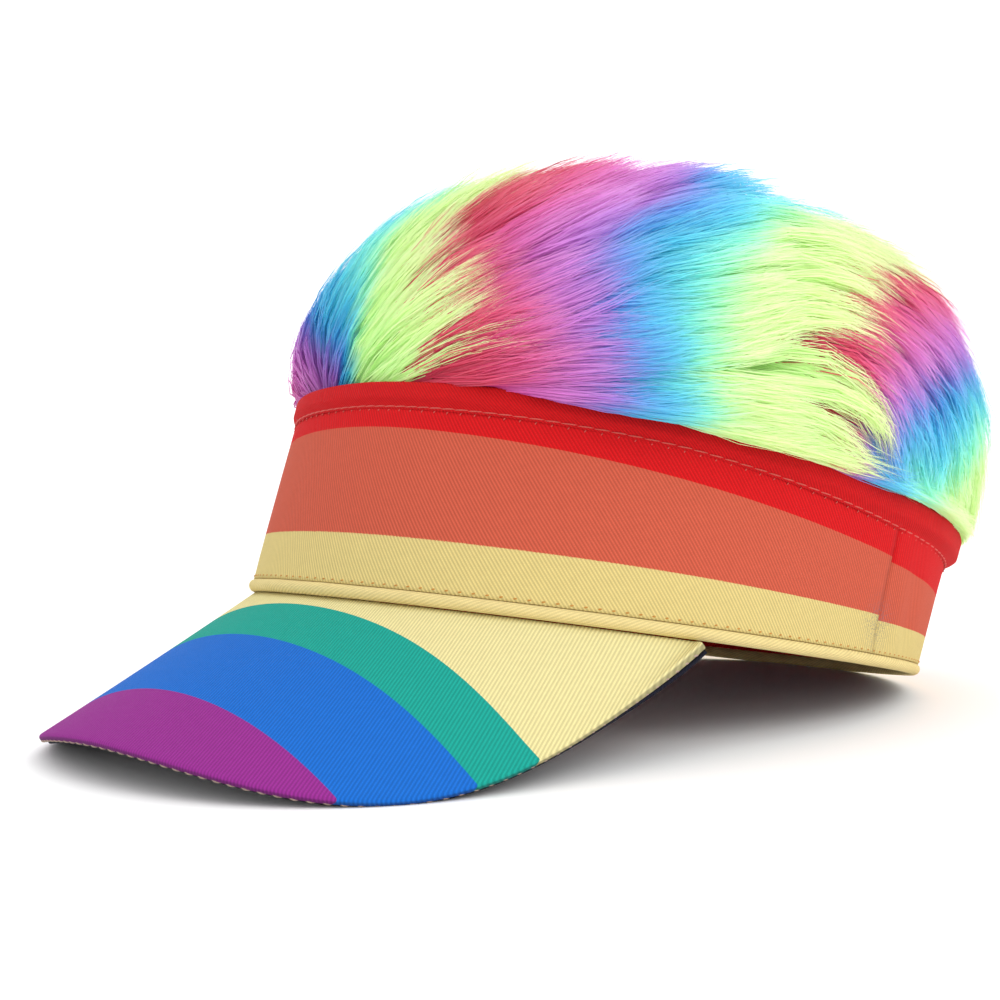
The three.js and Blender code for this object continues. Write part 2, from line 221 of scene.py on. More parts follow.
# Between which two places a change of the fur fades in: along the cap, from the forehead at -1 to
# the nape at 1, or as a height above the line that the fur hangs to
FADES = {
    "side_fall": (-0.45, 0.05),
    "brow": (-0.97, -0.8),
    "brow_end": (-0.1, -0.4),
    "fan": (-0.35, -0.8),
    "behind": (0.0, 0.5),
    "nape": (0.1, 0.6),
    "front": (-0.2, -0.5),
    "past_brow": (-0.75, -0.55),
    "low": (40 * MM, 0),
    "level": (12 * MM, MM),
    "side_edge": (0, 14 * MM),
    "back_edge": (-12 * MM, 34 * MM),
    "nape_low": (80 * MM, 25 * MM),
    "brow_dye": (0, 20 * MM),
    "late_dye": (22 * MM, 46 * MM),
}

# The combing low on the fur: how much more it falls at the sides, and what is left of its rise
# over the brow
LOW_FALL = 1.3
LOW_BROW_SHARE = 0.45

# How much of the outer form the fur fills: next to the tape at the sides and behind, low on the
# nape, and at the front corner of the wearer's right, which lies between two places across
SIDE_FILL = 0.62
BACK_FILL = 0.55
NAPE_FILL = 0.68
CORNER_FILL = 0.72
CORNER_START = -30 * MM
CORNER_END = -60 * MM

# The point over the forehead, just above the tape, from which the fur fans out
PARTING = np.array([-30, -94, 46]) * MM

# How the tape's edge falls over its run to the back, seen from the side
TAPE_FALL = -0.067

# The camera, in the cap's own frame
CAMERA_AZIMUTH = 43.54
CAMERA_ELEVATION = -1.34
CAMERA_ROLL = 7.02
CAMERA_DISTANCE = 0.4728
CAMERA_LENS = 59.43
CAMERA_SHIFT = (-0.0948, 0.1361)

# The tape from the front, angle 0, to the back: how much it is puffed out, how far its top stands
# above the band's edge, and how far below that edge its stitches run
TAPE_TABLE = [
    {"angle": 0, "puff": 0.0, "raised": 1.9 * MM, "stitch": 4.7 * MM},
    {"angle": 60, "puff": 0.05, "raised": 1.0 * MM, "stitch": 5.6 * MM},
    {"angle": 100, "puff": 0.3, "raised": 0.0, "stitch": 8.6 * MM},
    {"angle": 135, "puff": 1.0, "raised": 0.0, "stitch": 9.4 * MM},
    {"angle": 180, "puff": 0.8, "raised": 0.0, "stitch": 9.4 * MM},
]

# The white surroundings, a little dimmer towards the wearer's right in front, the key light and
# the floor
WORLD_LIGHT = 1.35
DIM_SHARE = 0.75
DIM_SIDE = (-0.4, -0.92, 0.0)
DIM_FULL = 0.9
KEY_PLACE = (1.2, 0.0, 1.0)
KEY_TARGET = (0.0, 0.0, 0.07)
KEY_SIZE = 0.8
KEY_POWER = 4
FLOOR_RADIUS = 30
FLOOR_DROP = 0.05 * MM
FLOOR_WHITES = ((251, 251, 251), (254, 254, 254))

# Colours as they are seen, red, green and blue of 255
CLOTH_RED = (220, 18, 24)
CLOTH_CORAL = (212, 95, 71)
CLOTH_YELLOW = (229, 207, 135)
PEAK_YELLOW = (240, 228, 164)
# The roll's yellow is the band's yellow made lighter, a painted highlight along its top
HIGHLIT_ROLL_YELLOW = (246, 224, 155)
PEAK_TEAL = (24, 168, 152)
PEAK_BLUE = (24, 112, 212)
PEAK_PURPLE = (156, 46, 148)
UNDERSIDE_NAVY = (22, 22, 40)
BACKING_GREY = (96, 100, 118)
SMUDGE_GREY = (112, 116, 128)
SALMON_THREAD = (240, 96, 84)
ORANGE_THREAD = (226, 158, 66)
TAN_THREAD = (206, 176, 158)

# The dye's repeats along each direction, per millimetre, and where they start. After the second
# repeat has begun to end, they lie wider apart
DYE_SLOPE_X = 0.00746
DYE_SLOPE_Y = 0.01732
DYE_SLOPE_Z = -0.00764
DYE_TWIST = -0.00012
DYE_START = 1.19
LAST_REPEAT = 1.72
LAST_STRETCH = 0.55

# Places where the dye is shifted, each faded in between two places in millimetres: across,
# along the front and the back side of it, and in height
DYE_SHIFTS = [
    {"shift": -0.10, "x": (-8, -16)},
    {"shift": -0.22, "x": (-8, -16), "height": (80, 54)},
    {"shift": -0.12, "behind": (-20, -50), "height": (90, 108)},
    {"shift": -0.26, "ahead": (-42, -22), "behind": (-6, -14), "height": (78, 58)},
    {"shift": 0.13, "ahead": (-12, -4), "behind": (25, 5), "height": (74, 60)},
]

# How far along a wisp its dye is read, next to the tape and higher up: over the brow and behind
BROW_SURFACING = (0.42, 0.74)
LATE_SURFACING = (0.36, 0.64)

# The dye of the fur along one repeat, from one red edge to the next
DYE_TABLE = [
    {"at": 0.00, "colour": (206, 6, 62)},
    {"at": 0.12, "colour": (214, 16, 92)},
    {"at": 0.21, "colour": (214, 56, 148)},
    {"at": 0.29, "colour": (208, 96, 190)},
    {"at": 0.37, "colour": (202, 116, 206)},
    {"at": 0.44, "colour": (164, 104, 206)},
    {"at": 0.49, "colour": (64, 150, 222)},
    {"at": 0.55, "colour": (12, 178, 222)},
    {"at": 0.64, "colour": (52, 206, 226)},
    {"at": 0.72, "colour": (140, 236, 210)},
    {"at": 0.79, "colour": (214, 255, 172)},
    {"at": 0.985, "colour": (218, 255, 164)},
    {"at": 1.00, "colour": (206, 6, 62)},
]


def table_column(table, name):
    return np.array([row[name] for row in table])


def unit(vectors):
    return vectors / np.linalg.norm(vectors, axis=-1, keepdims=True)


def mix(a, b, share):
    return a + (b - a) * share


def smooth(value, low, high):
    share = np.clip((value - low) / (high - low), 0, 1)
    return share * share * (3 - 2 * share)


def stacked(x, y, z):
    return np.stack(np.broadcast_arrays(x, y, z), axis=-1)


def dot(a, b):
    return np.sum(a * b, axis=-1, keepdims=True)


def linear(colour):
    """A colour as it is seen, of 255, as light."""
    share = np.asarray(colour, float) / 255
    return np.where(share <= 0.04045, share / 12.92, ((share + 0.055) / 1.055) ** 2.4)


def rgba(colour):
    return (*linear(colour), 1.0)


def plan_point(angle):
    turn = np.radians(angle)
    fullness = 1 + PLAN_FULLNESS * np.sin(2 * turn) ** 2
    x = BAND_HALF_WIDTH * np.sin(turn) * fullness
    y = -BAND_HALF_LENGTH * np.cos(turn) * fullness
    return stacked(x, y, 0.0)


def plan_normal(angle):
    return unit(plan_point(angle) / np.array([BAND_HALF_WIDTH**2, BAND_HALF_LENGTH**2, 1]))


def band_height(angle):
    return mix(BAND_HEIGHT_BACK, BAND_HEIGHT_FRONT, (1 + np.cos(np.radians(angle))) / 2)


def band_lean(angle):
    c = np.cos(np.radians(angle))
    half_difference = (LEAN_FRONT - LEAN_BACK) / 2
    end_mean = (LEAN_FRONT + LEAN_BACK) / 2
    return np.radians(LEAN_SIDE + half_difference * c + (end_mean - LEAN_SIDE) * c * c)


def band_point(angle, up, out):
    """A point of the band: up along its slope from the lower edge, and out from its face."""
    angle, up, out = np.broadcast_arrays(*[np.asarray(v, float) for v in (angle, up, out)])
    lean = band_lean(angle)[..., None]
    away = plan_normal(angle)
    rise = UP * np.cos(lean) - away * np.sin(lean)
    face = away * np.cos(lean) + UP * np.sin(lean)
    return plan_point(angle) + rise * up[..., None] + face * out[..., None]


def tape_column(angle, column):
    angles = table_column(TAPE_TABLE, "angle")
    return np.interp(np.abs(angle), angles, table_column(TAPE_TABLE, column))


def pitched(points):
    """Points turned back by the pitch at rest."""
    p = math.radians(REST_PITCH)
    x, y, z = points[..., 0], points[..., 1], points[..., 2]
    return stacked(x, y * math.cos(p) + z * math.sin(p), z * math.cos(p) - y * math.sin(p))


def rest_shift():
    """Where the level frame's origin lies at rest, from the boxes of two CAD nodes."""
    turns = 2 * math.pi * (np.arange(6) + 0.5) / 6
    up = ROLL_HEIGHT / 2 * (1 + np.cos(turns))
    out = ROLL_PROUD - ROLL_THICKNESS / 2 + ROLL_THICKNESS / 2 * np.sin(turns)
    roll_back = pitched(band_point(180, up, out))[:, 1].max()
    head = band_height(0) - TAPE_OVER_PANEL
    panel_top = pitched(band_point(0, head, np.array([0, -PANEL_WALL])))[:, 2].max()
    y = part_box("lower_roll")[1][1] - roll_back
    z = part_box("front_panel")[1][2] - panel_top
    return np.array([0, y, z])


REST_SHIFT = rest_shift()


def to_rest(points):
    return pitched(points) + REST_SHIFT


def peak_height(x, y):
    side = x / PEAK_HALF_WIDTH
    slope = PEAK_SLOPE + PEAK_SIDE_SLOPE * side * side
    arch = PEAK_ARCH_DEPTH * (1 - np.sqrt(1 - (x / PEAK_ARCH_RADIUS) ** 2))
    return (y + BAND_HALF_LENGTH) * slope - arch - FIT_GAP


def peak_outline(share):
    turn = math.pi / 2 * share
    corner_y = PEAK_CORNER_BACK - BAND_HALF_LENGTH
    spread = np.abs(np.sin(turn)) ** (2 / PEAK_SIDE_FULLNESS)
    forward = np.maximum(np.cos(turn), 0) ** (2 / PEAK_FRONT_FULLNESS)
    x = PEAK_HALF_WIDTH * np.sign(share) * spread
    y = corner_y - (PEAK_CORNER_BACK + PEAK_REACH) * forward
    corner_lift = peak_height(PEAK_HALF_WIDTH, corner_y) + FIT_GAP
    return stacked(x, y, peak_height(x, y) - corner_lift * np.abs(share) ** 8)


def peak_face(share, along):
    root = band_point(PEAK_CORNER_ANGLE * share, 0, -PEAK_TUCK)
    root[..., 2] = -FIT_GAP
    return mix(root, peak_outline(share), along[..., None])


def peak_point(share, along, down):
    """A point of the peak: along from the band to the free edge, and down from its face."""
    share, along, down = np.broadcast_arrays(*[np.asarray(v, float) for v in (share, along, down)])
    step = 0.01
    across = peak_face(np.minimum(share + step, 1), along)
    across = across - peak_face(np.maximum(share - step, -1), along)
    outward = peak_face(share, np.ones_like(share)) - peak_face(share, np.zeros_like(share))
    normal = unit(np.cross(outward, across))
    return peak_face(share, along) - normal * down[..., None]


def crown_point(angle, share, depth):
    angle, share = np.broadcast_arrays(np.asarray(angle, float), np.asarray(share, float))
    rim = band_point(angle, band_height(angle), -CROWN_INSET - depth)
    turn = math.pi / 2 * share
    spread = np.maximum(np.cos(turn), 0.04) ** (2 / CROWN_FULLNESS)
    rise = np.sin(turn) ** (2 / CROWN_FULLNESS)
    top_z = band_point(90, band_height(90), 0)[2] + CROWN_RISE - depth
    z = mix(rim[..., 2], top_z, rise)
    return stacked(rim[..., 0] * spread, rim[..., 1] * spread, z)


def reach(direction, half_width, half_length, half_height, fullness):
    total = (
        np.abs(direction[..., 0] / half_width) ** fullness
        + np.abs(direction[..., 1] / half_length) ** fullness
        + np.abs(direction[..., 2] / half_height) ** fullness
    )
    return total ** (-1 / fullness)


def fur_point(direction, depth):
    """A point of the fur along a direction: depth 0 is at the backing, 1 on the outer form."""
    side = band_point(90, band_height(90), -CROWN_INSET)
    front = abs(crown_point(0, 0, 0)[1] - FUR_MIDDLE[1])
    back = abs(crown_point(180, 0, 0)[1] - FUR_MIDDLE[1])
    length = np.where(direction[..., 1] < 0, front, back)
    height = side[2] + CROWN_RISE - FUR_MIDDLE[2]
    inner = reach(direction, side[0], length, height, CROWN_FULLNESS)
    swept = direction - FUR_SWEEP * direction[..., 2:] * np.array([0, 1, 0])
    outer = reach(swept, FUR_HALF_WIDTH, FUR_HALF_LENGTH, FUR_RISE, FUR_FULLNESS)
    return direction * mix(inner, outer, depth)[..., None] + FUR_MIDDLE


def outwards(points):
    return unit(points - FUR_MIDDLE)


def combing(points):
    """Which way the fur is combed: up over the forehead, back along the sides, down behind."""
    along = along_cap(points)
    rise = np.interp(along, table_column(COMB_TABLE, "along"), table_column(COMB_TABLE, "rise"))
    low = fade(above_hang(points), "low")
    rise = rise - LOW_FALL * low * fade(along, "side_fall")
    rise = rise * mix(1, LOW_BROW_SHARE, low * fade(along, "brow") * fade(along, "brow_end"))
    rise = mix(rise, TAPE_FALL, fade(above_hang(points), "level"))
    normal = outwards(points)
    wanted = unit(stacked(0 * along, 1 + 0 * along, rise))
    fan = unit(points - PARTING + 0.001 * MM * UP)
    wanted = mix(wanted, fan, fade(along, "fan")[..., None])
    return unit(wanted - normal * dot(wanted, normal))


def fade(value, name):
    return smooth(value, *FADES[name])


def along_cap(points):
    """Where points lie between the forehead at -1 and the nape at 1."""
    return (points[..., 1] - FUR_MIDDLE[1]) / FUR_HALF_LENGTH


def above_hang(points):
    """How far points lie above the line that the fur may hang down to."""
    front = band_point(0, band_height(0), 0)
    back = band_point(180, band_height(180), 0)
    share = (points[..., 1] - front[1]) / (back[1] - front[1])
    return points[..., 2] - mix(front[2], back[2], share) + FUR_HANG


def dye_share(points):
    """How far along the dye's repeats a point lies: each whole number is a red edge."""
    x, y, z = points[..., 0] / MM, points[..., 1] / MM, points[..., 2] / MM
    even = DYE_SLOPE_X * x + DYE_SLOPE_Y * y + DYE_SLOPE_Z * z + DYE_TWIST * y * z + DYE_START
    share = even - LAST_STRETCH * np.maximum(even - LAST_REPEAT, 0)
    for row in DYE_SHIFTS:
        amount = row["shift"] * smooth(x, *row["x"]) if "x" in row else row["shift"]
        for name, place in (("ahead", y), ("behind", y), ("height", z)):
            if name in row:
                amount = amount * smooth(place, *row[name])
        share = share + amount
    return share


def dye_colour(share):
    at = [row["at"] for row in DYE_TABLE]
    colours = np.array([linear(row["colour"]) for row in DYE_TABLE])
    inside = np.mod(share, 1)
    return np.stack([np.interp(inside, at, colours[:, i]) for i in range(3)], axis=-1)


# Shader helpers


def add(tree, kind, settings=None, inputs=None):
    """A node with its settings, and its inputs linked or set."""
    made = tree.nodes.new(kind)
    for key, value in (settings or {}).items():
        setattr(made, key, value)
    for key, value in (inputs or {}).items():
        if isinstance(value, bpy.types.NodeSocket):
            tree.links.new(value, made.inputs[key])
        else:
            made.inputs[key].default_value = value
    return made


def calc(tree, operation, *values):
    inputs = dict(enumerate(values))
    return add(tree, "ShaderNodeMath", {"operation": operation}, inputs).outputs[0]


def weighted(tree, a, a_share, b, b_share):
    return calc(tree, "ADD", calc(tree, "MULTIPLY", a, a_share), calc(tree, "MULTIPLY", b, b_share))


def smooth_range(tree, value, low, high, first=0.0, last=1.0):
    """A value eased from first to last while it goes from low to high."""
    settings = {"interpolation_type": "SMOOTHSTEP"}
    inputs = {0: value, 1: low, 2: high, 3: first, 4: last}
    return add(tree, "ShaderNodeMapRange", settings, inputs).outputs[0]


def blend(tree, factor, a, b, mode="MIX"):
    settings = {"data_type": "RGBA", "blend_type": mode}
    return add(tree, "ShaderNodeMix", settings, {0: factor, 6: a, 7: b}).outputs[2]


def noise(tree, scale, detail=2.0, vector=None):
    inputs = {"Scale": scale, "Detail": detail}
    if vector is not None:
        inputs["Vector"] = vector
    return add(tree, "ShaderNodeTexNoise", None, inputs).outputs["Fac"]


def spread_over(tree, value, low, high):
    """A value from 0 to 1 spread between two others."""
    inputs = {0: value, 3: low, 4: high}
    return add(tree, "ShaderNodeMapRange", None, inputs).outputs[0]


def ramp(tree, factor, stops, interpolation="LINEAR"):
    made = add(tree, "ShaderNodeValToRGB", None, {0: factor})
    made.color_ramp.interpolation = interpolation
    elements = made.color_ramp.elements
    while len(elements) < len(stops):
        elements.new(0.5)
    for element, (position, colour) in zip(elements, stops):
        element.position = position
    for element, (position, colour) in zip(elements, stops):
        element.color = rgba(colour)
    return made.outputs[0]


def cloth_place(tree):
    """Where a point lies on the cloth's map: along the cloth and across it."""
    uv = add(tree, "ShaderNodeUVMap", {"uv_map": "cloth"}).outputs[0]
    split = add(tree, "ShaderNodeSeparateXYZ", None, {0: uv})
    return split.outputs[0], split.outputs[1]


def shaded(tree, colour, factor):
    """A colour times a grey factor."""
    grey = add(tree, "ShaderNodeCombineColor", None, {0: factor, 1: factor, 2: factor})
    return blend(tree, 1.0, colour, grey.outputs[0], "MULTIPLY")


def attribute(tree, name):
    settings = {"attribute_type": "GEOMETRY", "attribute_name": name}
    return add(tree, "ShaderNodeAttribute", settings)


def new_material(name):
    material = bpy.data.materials.new(name)
    material.use_nodes = True
    material.node_tree.nodes.clear()
    return material, material.node_tree


def finish_material(tree, bump_height, bump_depth, shader_inputs, strength=1.0):
    inputs = dict(shader_inputs)
    if bump_height is not None:
        bump_inputs = {"Height": bump_height, "Distance": bump_depth, "Strength": strength}
        bump = add(tree, "ShaderNodeBump", None, bump_inputs)
        inputs["Normal"] = bump.outputs[0]
    shader = add(tree, "ShaderNodeBsdfPrincipled", None, inputs)
    output = add(tree, "ShaderNodeOutputMaterial")
    tree.links.new(shader.outputs[0], output.inputs[0])


def striped(stops):
    """Printed stripes of the dye attribute, with edges a thread uneven."""

    def colour(tree):
        value = attribute(tree, "dye").outputs["Fac"]
        uneven = spread_over(tree, noise(tree, THREAD_GRAIN), -BAND_UNEVEN, BAND_UNEVEN)
        return ramp(tree, calc(tree, "ADD", value, uneven), stops, "CONSTANT")

    return colour


def arched(rows, colours):
    """Printed stripes across the peak, each border an arc of the cloth's map."""

    def colour(tree):
        x, stretched = cloth_place(tree)
        uneven = spread_over(tree, noise(tree, THREAD_GRAIN), -PEAK_UNEVEN, PEAK_UNEVEN)
        y = calc(tree, "ADD", calc(tree, "DIVIDE", stretched, PEAK_STRETCH), uneven)
        square = calc(tree, "MULTIPLY", x, x)
        printed = rgba(colours[0])
        for row, following in zip(rows, colours[1:]):
            border = calc(tree, "ADD", calc(tree, "MULTIPLY", square, row["curve"]), row["y"])
            behind = calc(tree, "GREATER_THAN", y, border)
            printed = blend(tree, behind, printed, rgba(following))
        low = attribute(tree, "dye").outputs["Fac"]
        folded = smooth_range(tree, low, EDGE_START, EDGE_END, 0.0, EDGE_DARKENING)
        return blend(tree, folded, printed, rgba(UNDERSIDE_NAVY))

    return colour


def plain(colour_value):
    def colour(tree):
        stops = [(0.0, tuple(c * 0.93 for c in colour_value)), (1.0, colour_value)]
        return ramp(tree, noise(tree, 60.0), stops)

    return colour


def smudged(stripes):
    """The band's stripes with a few grey smudges low by the side seam."""

    def colour(tree):
        printed = stripes(tree)
        uv = add(tree, "ShaderNodeUVMap", {"uv_map": "cloth"}).outputs[0]
        away = add(tree, "ShaderNodeVectorMath", {"operation": "DISTANCE"}, {0: uv, 1: SMUDGE_PLACE})
        near = smooth_range(tree, away.outputs["Value"], SMUDGE_REACH, 0.0)
        patchy = smooth_range(tree, noise(tree, SMUDGE_GRAIN, 3.0), 0.5, 0.6)
        stain = calc(tree, "MULTIPLY", calc(tree, "MULTIPLY", near, patchy), SMUDGE_STRENGTH)
        return blend(tree, stain, printed, rgba(SMUDGE_GREY))

    return colour


def twill(name, colour, lean, pitch=TWILL_PITCH, contrast=0.26, depth=0.16 * MM, rough=0.88):
    """Cotton twill: ribs that lean by an angle, each of short turns of thread."""
    material, tree = new_material(name)
    u, v = cloth_place(tree)
    wander = spread_over(tree, noise(tree, 300.0, 2.0), -0.35, 0.35)
    c, s = math.cos(math.radians(lean)), math.sin(math.radians(lean))
    turn = 2 * math.pi / pitch
    shorter = turn * THREAD_TURNS
    across = weighted(tree, u, c * turn, v, s * turn)
    along = weighted(tree, u, -s * shorter, v, c * shorter)
    rib = spread_over(tree, calc(tree, "SINE", calc(tree, "ADD", across, wander)), 0.0, 1.0)
    rib.node.inputs[1].default_value = -1.0
    thread = spread_over(tree, calc(tree, "SINE", along), 0.0, 1.0)
    thread.node.inputs[1].default_value = -1.0
    cloth = calc(tree, "MULTIPLY", rib, spread_over(tree, thread, 0.72, 1.0))
    cloth = calc(tree, "ADD", cloth, spread_over(tree, noise(tree, 2500.0, 1.0), -0.18, 0.18))
    printed = colour(tree)
    shade = spread_over(tree, cloth, 1.0 - contrast, 1.0 + contrast / 3)
    broad = spread_over(tree, noise(tree, 45.0, 3.0), 0.86, 0.95)
    tinted = shaded(tree, printed, calc(tree, "MULTIPLY", shade, broad))
    inputs = {"Base Color": tinted, "Roughness": rough, "Specular IOR Level": 0.2}
    finish_material(tree, cloth, depth, inputs, 0.7)
    return material


def thread_material(name, colour):
    material, tree = new_material(name)
    twist = noise(tree, 1800.0, 2.0)
    stops = [(0.25, tuple(c * 0.72 for c in colour)), (0.75, colour)]
    finish_material(tree, twist, 0.1 * MM, {"Base Color": ramp(tree, twist, stops), "Roughness": 0.6})
    return material


def knit_material(name, colour):
    material, tree = new_material(name)
    u, v = cloth_place(tree)
    turn = 2 * math.pi / KNIT_PITCH
    wales = calc(tree, "SINE", calc(tree, "MULTIPLY", u, turn))
    courses = calc(tree, "SINE", calc(tree, "MULTIPLY", v, turn))
    loops = calc(tree, "ADD", calc(tree, "MULTIPLY", wales, courses), noise(tree, THREAD_GRAIN))
    stops = [(0.0, tuple(c * 0.7 for c in colour)), (1.0, colour)]
    tinted = ramp(tree, spread_over(tree, loops, 0.3, 0.8), stops)
    finish_material(tree, loops, 0.25 * MM, {"Base Color": tinted, "Roughness": 0.95}, 0.6)
    return material


def fur_material(name, rough, shade, glow):
    """Glossy pile that some light passes through, each hair with its own tint, and a faint painted glow
    in that tint.
    """
    material, tree = new_material(name)
    tint = attribute(tree, "tint").outputs["Color"]
    factor = spread_over(tree, noise(tree, 180.0, 3.0), 0.86 * shade, 1.08 * shade)
    tinted = shaded(tree, tint, factor)
    inputs = {"Base Color": tinted, "Roughness": rough, "Specular IOR Level": 0.4}
    # The emission paints a glow into the fur in its own tint
    inputs["Emission Color"] = tinted
    inputs["Emission Strength"] = PAINTED_GLOW
    solid = add(tree, "ShaderNodeBsdfPrincipled", None, inputs)
    clear = add(tree, "ShaderNodeBsdfTranslucent", None, {"Color": tinted})
    both = add(tree, "ShaderNodeMixShader", None, {0: glow, 1: solid.outputs[0], 2: clear.outputs[0]})
    output = add(tree, "ShaderNodeOutputMaterial")
    tree.links.new(both.outputs[0], output.inputs[0])
    return material


# Mesh helpers


def put(obj, slot, material, *nodes):
    obj.data.materials.append(material)
    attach(obj, "root")
    if nodes:
        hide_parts(*nodes)
    return obj


def linked(name, data):
    obj = bpy.data.objects.new(name, data)
    bpy.context.scene.collection.objects.link(obj)
    return obj


def new_object(name, vertices, faces):
    mesh = bpy.data.meshes.new(name)
    mesh.from_pydata(vertices.tolist(), [], faces)
    return linked(name, mesh)


def quads_between(a, b):
    """Faces between two sets of closed loops of vertices."""
    return np.stack([a, b, np.roll(b, -1, -1), np.roll(a, -1, -1)], -1).reshape(-1, 4)


def smooth_outward(obj, cloth_map=None):
    """Smooth shading with every face turned outward, and the cloth's map laid on."""
    if cloth_map is not None:
        layer = obj.data.uv_layers.new(name="cloth")
        layer.data.foreach_set("uv", cloth_map.ravel())
    made = bmesh.new()
    made.from_mesh(obj.data)
    bmesh.ops.recalc_face_normals(made, faces=made.faces)
    made.to_mesh(obj.data)
    made.free()
    obj.data.polygons.foreach_set("use_smooth", np.ones(len(obj.data.polygons), bool))


def loft(name, sections, ring=False, along=None, across=None, dye=None):
    """A closed skin over sections, each a loop. along and across are lengths for the cloth's map,
    one more than there are sections of a ring and points of a loop."""
    stations, points = sections.shape[:2]
    index = np.arange(stations * points).reshape(stations, points)
    rows = np.vstack([index, index[:1]]) if ring else index
    faces = quads_between(rows[:-1], rows[1:]).tolist()
    if not ring:
        faces += [index[0].tolist(), index[-1][::-1].tolist()]
    obj = new_object(name, to_rest(sections.reshape(-1, 3)), faces)
    if along is not None:
        u, v = np.broadcast_arrays(along if along.ndim > 1 else along[:, None], across)
        grid = np.stack([u, v], -1)
        c0, c1 = grid[:-1, :-1], grid[1:, :-1]
        c2, c3 = grid[1:, 1:], grid[:-1, 1:]
        flat = np.stack([c0, c1, c2, c3], 2).reshape(-1, 2)
        caps = np.zeros((0 if ring else 2 * points, 2))
        smooth_outward(obj, np.vstack([flat, caps]))
    else:
        smooth_outward(obj)
    if dye is not None:
        layer = obj.data.attributes.new("dye", "FLOAT", "POINT")
        layer.data.foreach_set("value", dye.ravel().astype(float))
    return obj


def arc_lengths(points):
    steps = np.linalg.norm(np.diff(points, axis=0), axis=1)
    return np.concatenate([[0], np.cumsum(steps)])


# Band panels


def panel_folds(angle, up):
    """How far the twill stands in or out: soft creases, closer together by the side seam."""
    near = np.exp(-(((np.abs(angle) - SIDE_SEAM_ANGLE - 4) / 9) ** 2))
    share = up / band_height(angle)
    soft = 0.35 * np.sin(np.radians(angle * 7 + 60 * share)) * np.sin(math.pi * share)
    close = 0.55 * np.sin(np.radians(angle * 38 + 150 * share)) * smooth(share, 0.95, 0.2)
    return (soft + close * near) * MM


def panel(name, start, end, stations, drop):
    rows = 14
    foot = ROLL_SEEN_HEIGHT + 0.05 * MM
    angle = np.linspace(start, end, stations)
    height = band_height(angle)
    head = height - TAPE_OVER_PANEL
    red = mix(RED_SHARE_BACK, RED_SHARE_FRONT, (1 + np.cos(np.radians(angle))) / 2)
    first = height * YELLOW_SHARE - drop
    second = np.minimum(height * red - drop, head - 0.5 * MM)
    steps = np.linspace(0, 1, rows)
    levels = [(foot + 0 * angle, first, 0.0), (first, second, 1 / 3), (second, head, 2 / 3)]
    up, dye = [], []
    for low, high, base in levels:
        for step in steps[: rows - 1 if base < 0.6 else rows]:
            up.append(mix(low, high, step))
            dye.append(base + step / 3 + 0 * angle)
    up, dye = np.array(up).T, np.array(dye).T
    around = angle[:, None] + 0 * up
    outer = band_point(around, up, panel_folds(around, up) * smooth(up, foot, foot + 6 * MM))
    inner_up = np.linspace(1, 0, 8)[None, :] * (head - foot)[:, None] + foot
    inner = band_point(angle[:, None] + 0 * inner_up, inner_up, -PANEL_WALL)
    sections = np.concatenate([outer, inner], 1)
    dye = np.concatenate([dye, dye[:, -1:] + 0 * inner_up], 1)
    before = arc_lengths(plan_point(np.linspace(0, start, 90)))[-1] * np.sign(start)
    lengths = arc_lengths(plan_point(angle)) + before
    across = np.concatenate([up, inner_up, up[:, :1]], 1)
    return loft(name, sections, False, lengths, across, dye)


seam_half = math.degrees(SEAM_SEEN_GAP / 2 / BAND_HALF_WIDTH)
band_stripes = striped([(0.0, CLOTH_YELLOW), (1 / 3, CLOTH_CORAL), (2 / 3, CLOTH_RED)])
band_twill = twill("band twill", smudged(band_stripes), TWILL_LEAN)
front_end = SIDE_SEAM_ANGLE - seam_half
back_start = SIDE_SEAM_ANGLE + seam_half
front = panel("front_band", -front_end, front_end, 150, 0)
put(front, "band_twill", band_twill, "front_panel")
back = panel("back_band", back_start, 360 - back_start, 110, BACK_STRIPE_DROP)
put(back, "band_twill", band_twill, "back_panel")


# Tape and roll


def around_angles(count):
    return np.arange(count) * 360 / count - 180


def ring_lengths(angle):
    closed = np.append(angle, angle[0] + 360)
    return arc_lengths(plan_point(closed))


def tape():
    angle = around_angles(300)
    top = band_height(angle) + tape_column(angle, "raised")
    width = tape_column(angle, "stitch") + tape_column(angle, "raised") + 0.7 * MM
    puff = TAPE_PUFF * tape_column(angle, "puff")
    face = FIT_GAP + TAPE_CLOTH
    bulge = 0.35 * MM * np.sin(np.radians(angle * 11)) * tape_column(angle, "puff")
    inner = -PANEL_WALL - FIT_GAP - TAPE_CLOTH
    points = []
    for share in np.linspace(0, TAPE_SHOULDER, 14):
        swollen = smooth(share, 0.1, 0.42)
        groove = 0.12 * MM * np.exp(-(((share - 0.11) / 0.05) ** 2))
        out = TAPE_OFF_BAND + (face * TAPE_PRESSED + puff + bulge) * swollen - groove
        points.append((top - width * (1 - share), out))
    for turn in np.linspace(0, math.pi, 9)[1:-1]:
        lift = np.sin(turn) * width * (1 - TAPE_SHOULDER)
        outer = TAPE_OFF_BAND + face * TAPE_PRESSED + puff + bulge
        middle, half = (outer + inner) / 2, (outer - inner) / 2
        out = middle + half * np.cos(turn)
        points.append((top - width * (1 - TAPE_SHOULDER) + lift, out))
    for share in (TAPE_SHOULDER, 0.5, 0.0):
        points.append((top - width * (1 - share), inner + 0 * top))
    points.append((top - width, -PANEL_WALL - FIT_GAP + 0 * top))
    head = band_height(angle) - TAPE_OVER_PANEL + FIT_GAP
    points.append((head, -PANEL_WALL - FIT_GAP + 0 * top))
    points.append((head, 0.08 * MM + 0 * top))
    points.append((top - width, 0.08 * MM + 0 * top))
    up = np.array([p[0] + 0 * angle for p in points]).T
    out = np.array([p[1] + 0 * angle for p in points]).T
    sections = band_point(angle[:, None] + 0 * up, up, out)
    across = arc_lengths(sections[0])
    across = np.append(across, across[-1] + MM)
    return loft("tape", sections, True, ring_lengths(angle), across[None, :])


